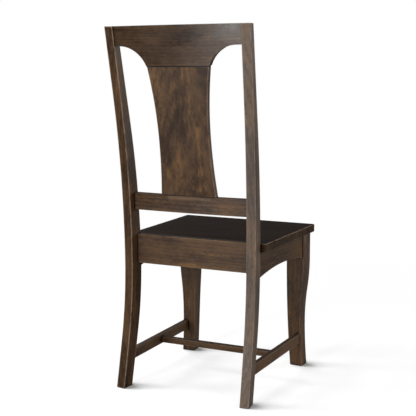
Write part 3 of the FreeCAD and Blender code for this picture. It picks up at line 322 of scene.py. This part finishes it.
def wood_material(node, wood, seed):
    """Dark-stained wood: figure, pores, rubbed patches, painted shade on faces that look up, arrises pale
    with wear and painted highlight, and painted shade in corners and along joints.
    """
    rng = random.Random(seed)
    stain = STAINS[wood.stain]
    material = bpy.data.materials.new(node + "_wood")
    shader = Shader(material)
    here = shader.here()
    along_grain = shader.mapped(here, turn=GRAIN_TURN[wood.grain])
    board = shader.mapped(along_grain, place=random_place(rng))
    layers = {name: shader.noise(board, layer) for name, layer in STAINED_LAYERS.items()}
    layers["rings"] = growth_rings(shader, along_grain, rng)

    figure = FIGURE_OFFSET
    for name, share in FIGURE_SHARES.items():
        figure = shader.plus(figure, shader.times(layers[name], share))
    shade = shader.mix(shader.ramp(figure, *TONE_RANGE), stain.deep, stain.body)
    rubbed = shader.times(shader.ramp(layers["patches"], *RUBBED_PATCHES),
                          shader.ramp(figure, *RUBBED_FIGURE))
    shade = shader.mix(shader.times(rubbed, wood.rub), shade, stain.warm)
    pored = shader.ramp(layers["pores"], *PORE_RANGE)
    shade = shader.mix(shader.times(pored, PORE_SHARE), shade, stain.deep)
    upward = shader.upward()
    # Painted shade: faces that look up are darkened towards the deep stain
    shade = shader.mix(shader.ramp(upward, *TOP_SHADE_RANGE, to_high=TOP_SHADE_SHARE), shade, stain.deep)

    edge = bevelled_rim(shader, upward) if wood.stain == "seat" else convex_edge(shader)
    outside = shader.openness(OUTSIDE_REACH)
    # Pale arrises: partly real wear, partly a painted highlight along the edges
    wear_and_highlight = shader.times(edge, shader.ramp(layers["chips"], *CHIP_RANGE))
    wear_and_highlight = shader.times(wear_and_highlight, shader.ramp(outside, *WEAR_AND_HIGHLIGHT_RANGE))
    shade = shader.mix(shader.times(wear_and_highlight, wood.worn), shade, stain.worn)
    # Painted shade: darker where other surfaces lie close, in corners and along the splat's joints
    corner_and_seam_shade = shader.ramp(outside, *UNSHADED_RANGE, to_low=CORNER_SHADE_COLOUR)
    for seam_height in SEAMS.get(node, ()):
        corner_and_seam_shade = shader.times(corner_and_seam_shade, seam_shade(shader, here, seam_height))
    shade = shader.mix(1.0, shade, shader.grey(corner_and_seam_shade), "MULTIPLY")

    roughness = shader.ramp(layers["blotches"], *NOISE_RANGE, to_low=stain.roughness,
                            to_high=stain.roughness + BLOTCH_ROUGHNESS)
    roughness = shader.plus(roughness, shader.times(pored, PORE_ROUGHNESS))
    relief = shader.minus(shader.times(layers["fine"], FINE_RELIEF), shader.times(pored, PORE_RELIEF))
    shader.glossy(Base_Color=shade, Roughness=roughness, Specular_IOR_Level=stain.shine,
                  Normal=shader.bump(relief, strength=0.35, depth=WOOD_BUMP))
    return material


PLAIN_FINE = Layer(0.05, 500.0, 4.0, 0.6)
PLAIN_BANDS = Layer(0.08, 90.0, 3.0, 0.5, 0.5)
PLAIN_DARK = colour(0.27, 0.17, 0.095)
PLAIN_PALE = colour(0.47, 0.34, 0.21)


def plain_wood_material(node, grain, seed):
    """Unstained hardwood for the blocks and dowels inside."""
    material = bpy.data.materials.new(node + "_wood")
    shader = Shader(material)
    along_grain = shader.mapped(shader.here(), turn=GRAIN_TURN[grain])
    board = shader.mapped(along_grain, place=random_place(random.Random(seed)))
    fine = shader.noise(board, PLAIN_FINE)
    bands = shader.noise(board, PLAIN_BANDS)
    figure = shader.times(shader.plus(fine, bands), 0.5)
    shader.glossy(Base_Color=shader.mix(shader.ramp(figure, *NOISE_RANGE), PLAIN_DARK, PLAIN_PALE),
                  Roughness=shader.ramp(figure, *NOISE_RANGE, to_low=0.72, to_high=0.58),
                  Normal=shader.bump(fine, strength=0.4, depth=WOOD_BUMP))
    return material


SCRATCHES = Layer(0.2, 2500.0, 3.0)
TARNISH = Layer(1.0, 260.0, 4.0, 0.6)
STEEL_BRIGHT = colour(0.58, 0.57, 0.53)
STEEL_TARNISHED = colour(0.33, 0.30, 0.24)
METAL_BUMP = 0.0001


def steel_material():
    """Zinc-plated steel with fine scratches and a trace of tarnish."""
    material = bpy.data.materials.new("plated_steel")
    shader = Shader(material)
    here = shader.here()
    scratches = shader.noise(here, SCRATCHES)
    tarnished = shader.ramp(shader.noise(here, TARNISH), *PEAK_RANGE)
    shader.glossy(Base_Color=shader.mix(tarnished, STEEL_BRIGHT, STEEL_TARNISHED), Metallic=1.0,
                  Roughness=shader.ramp(scratches, *NOISE_RANGE, to_low=0.28, to_high=0.45),
                  Normal=shader.bump(scratches, strength=0.2, depth=METAL_BUMP))
    return material


SCUFFS = Layer(1.0, 700.0, 4.0, 0.65)
PLASTIC_DARK = colour(0.018, 0.016, 0.015)
PLASTIC_SCUFFED = colour(0.07, 0.065, 0.06)
PLASTIC_BUMP = 0.0001


def glide_material():
    """Dark moulded plastic, scuffed by the floor."""
    material = bpy.data.materials.new("glide_plastic_scuffed")
    shader = Shader(material)
    scuffs = shader.noise(shader.here(), SCUFFS)
    shader.glossy(Base_Color=shader.mix(shader.ramp(scuffs, *PEAK_RANGE), PLASTIC_DARK, PLASTIC_SCUFFED),
                  Roughness=shader.ramp(scuffs, *NOISE_RANGE, to_low=0.4, to_high=0.65),
                  Normal=shader.bump(scuffs, strength=0.3, depth=PLASTIC_BUMP))
    return material


# Pieces and their finishes

# Grain axis, stain, how much of it is rubbed through on the faces and how pale the arrises are with wear
# and painted highlight
Wood = namedtuple("Wood", "grain stain rub worn")

STAINED = {
    "rear_post_left": Wood("z", "brown", 0.45, 0.75),
    "rear_post_right": Wood("z", "pale", 0.30, 0.50),
    "front_leg_left": Wood("z", "frame", 0.40, 0.60),
    # More rubbed through than its partner, partly to paint light on its shaded rear face
    "front_leg_right": Wood("z", "frame", 0.60, 0.60),
    "crest_rail": Wood("x", "dark", 0.30, 0.15),
    "back_splat": Wood("z", "frame", 0.62, 0.60),
    "lower_back_rail": Wood("x", "frame", 0.35, 0.15),
    "rear_seat_rail": Wood("x", "frame", 0.55, 0.50),
    "front_seat_rail": Wood("x", "frame", 0.45, 0.50),
    "side_seat_rail_left": Wood("y", "brown", 0.35, 0.30),
    "side_seat_rail_right": Wood("y", "brown", 0.35, 0.30),
    "side_stretcher_left": Wood("y", "frame", 0.35, 0.35),
    "side_stretcher_right": Wood("y", "frame", 0.35, 0.35),
    "cross_stretcher": Wood("x", "frame", 0.35, 0.35),
    "seat_board_1": Wood("x", "seat", 0.40, 0.60),
    "seat_board_2": Wood("x", "seat", 0.40, 0.60),
    "seat_board_3": Wood("x", "seat", 0.40, 0.60),
    "seat_board_4": Wood("x", "seat", 0.40, 0.60),
}

# Heights of the splat's joints with the crest rail and the lower back rail, where a thin line of painted
# shade is drawn
JOINT_GAP = 0.0002
SPLAT_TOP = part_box("crest_rail")[0][2]
SPLAT_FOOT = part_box("lower_back_rail")[1][2] + JOINT_GAP
SEAMS = {"crest_rail": (SPLAT_TOP,), "back_splat": (SPLAT_TOP, SPLAT_FOOT)}

# Grain axes of the unstained pieces
UNSTAINED = {
    "corner_block_rear_left": "x",
    "corner_block_rear_right": "x",
    "corner_block_front_left": "x",
    "corner_block_front_right": "x",
    "seat_rail_dowels": "x",
}

# Seeds of the first stained and the first unstained piece; each next piece has the next number
STAINED_SEED = 11
UNSTAINED_SEED = 71

STEEL = ("corner_block_screws", "seat_screws")
GLIDES = ("floor_glide_rear_left", "floor_glide_rear_right", "floor_glide_front_left",
          "floor_glide_front_right")


def give_finish(node, material):
    for slot in nodes[node].material_slots:
        slot.material = material


def finish_pieces():
    for seed, (node, wood) in enumerate(STAINED.items(), start=STAINED_SEED):
        give_finish(node, wood_material(node, wood, seed))
    for seed, (node, grain) in enumerate(UNSTAINED.items(), start=UNSTAINED_SEED):
        give_finish(node, plain_wood_material(node, grain, seed))
    steel = steel_material()
    for node in STEEL:
        give_finish(node, steel)
    plastic = glide_material()
    for node in GLIDES:
        give_finish(node, plastic)


# Softened arrises

# How wide the arrises are rounded, and how wide on the seat's boards, which meet without a groove
SOFTENING = 0.0004
BOARD_SOFTENING = 0.00012
ROUNDED_SEGMENTS = 2

# An edge bent by more than this is an arris, and points nearer to each other than this are one
ARRIS_ANGLE = math.radians(28)
MERGE_DISTANCE = 0.00001

# How far the shading of an arris leans to the larger face, where 50 is even
LARGE_FACE_WEIGHT = 80


def smooth_shading_tree():
    """Joins a piece's faces along their edges and shades them smoothly."""
    tree = bpy.data.node_groups.new("smooth_shading", "GeometryNodeTree")
    tree.interface.new_socket("Geometry", in_out="INPUT", socket_type="NodeSocketGeometry")
    tree.interface.new_socket("Geometry", in_out="OUTPUT", socket_type="NodeSocketGeometry")
    start = tree.nodes.new("NodeGroupInput")
    end = tree.nodes.new("NodeGroupOutput")
    merge = tree.nodes.new("GeometryNodeMergeByDistance")
    merge.inputs["Distance"].default_value = MERGE_DISTANCE
    smooth = tree.nodes.new("GeometryNodeSetShadeSmooth")
    tree.links.new(start.outputs[0], merge.inputs[0])
    tree.links.new(merge.outputs[0], smooth.inputs[0])
    tree.links.new(smooth.outputs[0], end.inputs[0])
    return tree


def soften(node, shading_tree, width):
    """Rounds a wooden piece's arrises a little, with its faces shaded flat up to them."""
    piece = nodes[node]
    merged = piece.modifiers.new("merged", "NODES")
    merged.node_group = shading_tree
    rounded = piece.modifiers.new("rounded", "BEVEL")
    rounded.width = width
    rounded.segments = ROUNDED_SEGMENTS
    rounded.limit_method = "ANGLE"
    rounded.angle_limit = ARRIS_ANGLE
    rounded.use_clamp_overlap = True
    rounded.miter_outer = "MITER_ARC"
    weighted = piece.modifiers.new("weighted", "WEIGHTED_NORMAL")
    weighted.weight = LARGE_FACE_WEIGHT
    weighted.keep_sharp = False


def soften_pieces():
    shading_tree = smooth_shading_tree()
    for node in (*STAINED, *UNSTAINED):
        soften(node, shading_tree, BOARD_SOFTENING if node.startswith("seat_board") else SOFTENING)


# Floor and sky

WHITE = colour(1, 1, 1)
FLOOR_HALF_SIZE = 30.0

# Near the chair the floor is part white paint, which takes the lamps' shadows, and part glow
FLOOR_WHITE = colour(0.9, 0.9, 0.9)
FLOOR_GLOW = 1.4
FLOOR_GLOW_SHARE = 0.5

# How grey the floor is for the light that it throws back on the chair
FLOOR_BOUNCE = colour(0.32, 0.32, 0.32)

# Distances from the chair's middle between which the floor turns into the white of the background
FLOOR_FADE = (0.9, 2.2)

# Contact shadows: how far they reach, the direction of the light that they fall away from, how open the
# floor is where they are deepest and where they end, and how much of the glow is left in them
CONTACT_REACH = 0.17
CONTACT_LIGHT = (0.82, 0.22, 0.53)
CONTACT_RANGE = (0.50, 0.88)
CONTACT_GLOW = 0.08
CONTACT_SAMPLES = 16

# How bright the sky is where it is seen and for the light that it gives
SKY_SEEN = 1.0
SKY_LIGHT = 0.16


def floor_material():
    """Pale, with soft contact shadows, and white further out where it is seen directly."""
    material = bpy.data.materials.new("pale_floor")
    shader = Shader(material)
    away = shader.node("ShaderNodeVectorMath", shader.here(),
                       settings={"operation": "LENGTH"}).outputs["Value"]
    towards_light = shader.node("ShaderNodeCombineXYZ", *CONTACT_LIGHT).outputs["Vector"]
    contact = shader.openness(CONTACT_REACH, samples=CONTACT_SAMPLES, Normal=towards_light)
    glow = shader.ramp(contact, *CONTACT_RANGE, to_low=CONTACT_GLOW * FLOOR_GLOW, to_high=FLOOR_GLOW)
    near = shader.blend(FLOOR_GLOW_SHARE, shader.node("ShaderNodeBsdfDiffuse", Color=FLOOR_WHITE),
                        shader.node("ShaderNodeEmission", Strength=glow))
    seen = shader.blend(shader.ramp(away, *FLOOR_FADE), near,
                        shader.node("ShaderNodeEmission", Strength=SKY_SEEN))
    by_camera = shader.node("ShaderNodeLightPath").outputs["Is Camera Ray"]
    surface = shader.blend(by_camera, shader.node("ShaderNodeBsdfDiffuse", Color=FLOOR_BOUNCE), seen)
    shader.node("ShaderNodeOutputMaterial", Surface=surface.outputs[0])
    return material


def make_floor():
    """One large square under the glides."""
    half = FLOOR_HALF_SIZE
    corners = [(-half, -half, 0), (half, -half, 0), (half, half, 0), (-half, half, 0)]
    mesh = bpy.data.meshes.new("floor")
    mesh.from_pydata(corners, [], [(0, 1, 2, 3)])
    mesh.materials.append(floor_material())
    floor = bpy.data.objects.new("floor", mesh)
    bpy.context.scene.collection.objects.link(floor)


def make_sky():
    """White where it is seen directly, dim where it lights the chair."""
    world = bpy.data.worlds.new("studio")
    bpy.context.scene.world = world
    shader = Shader(world)
    dim = shader.node("ShaderNodeBackground", Color=WHITE, Strength=SKY_LIGHT)
    white = shader.node("ShaderNodeBackground", Color=WHITE, Strength=SKY_SEEN)
    by_camera = shader.node("ShaderNodeLightPath").outputs["Is Camera Ray"]
    shader.node("ShaderNodeOutputWorld", Surface=shader.blend(by_camera, dim, white).outputs[0])


# Lamps

# Where a soft lamp stands, what it points at, its width and height, and its watts
Lamp = namedtuple("Lamp", "place target width height watts")

LAMPS = {
    "left": Lamp((2.8, 0.9, 1.8), (0, 0, 0.4), 0.8, 0.8, 60),
    "behind_chair": Lamp((0.7, 3.2, 1.6), (0, 0, 0.7), 0.6, 1.5, 38),
    "low_behind_chair": Lamp((0.60, 3.1, 0.28), (-0.1, 0.2, 1.2), 0.4, 0.4, 17),
    "behind_camera": Lamp((-2.1, 2.8, 1.5), (0, 0, 0.6), 1.2, 1.4, 24),
    "right": Lamp((-2.7, 1.5, 1.8), (0, 0, 0.6), 1.2, 1.2, 26),
    "right_front": Lamp((-2.6, -2.4, 1.3), (0, 0, 0.5), 1.4, 1.4, 42),
    "left_front": Lamp((2.7, -2.3, 0.6), (0, 0, 0.5), 1.2, 0.8, 24),
}


def make_lamp(name, lamp):
    """A soft rectangular lamp that points at its target."""
    data = bpy.data.lights.new(name, "AREA")
    data.shape = "RECTANGLE"
    data.size = lamp.width
    data.size_y = lamp.height
    data.energy = lamp.watts
    made = bpy.data.objects.new(name, data)
    made.location = lamp.place
    aim = Vector(lamp.target) - Vector(lamp.place)
    made.rotation_euler = aim.to_track_quat("-Z", "Y").to_euler()
    bpy.context.scene.collection.objects.link(made)


# Whole scene

make_camera()
finish_pieces()
soften_pieces()
make_floor()
make_sky()
for lamp_name, lamp in LAMPS.items():
    make_lamp(lamp_name, lamp)
bpy.context.scene.view_settings.view_transform = "Standard"
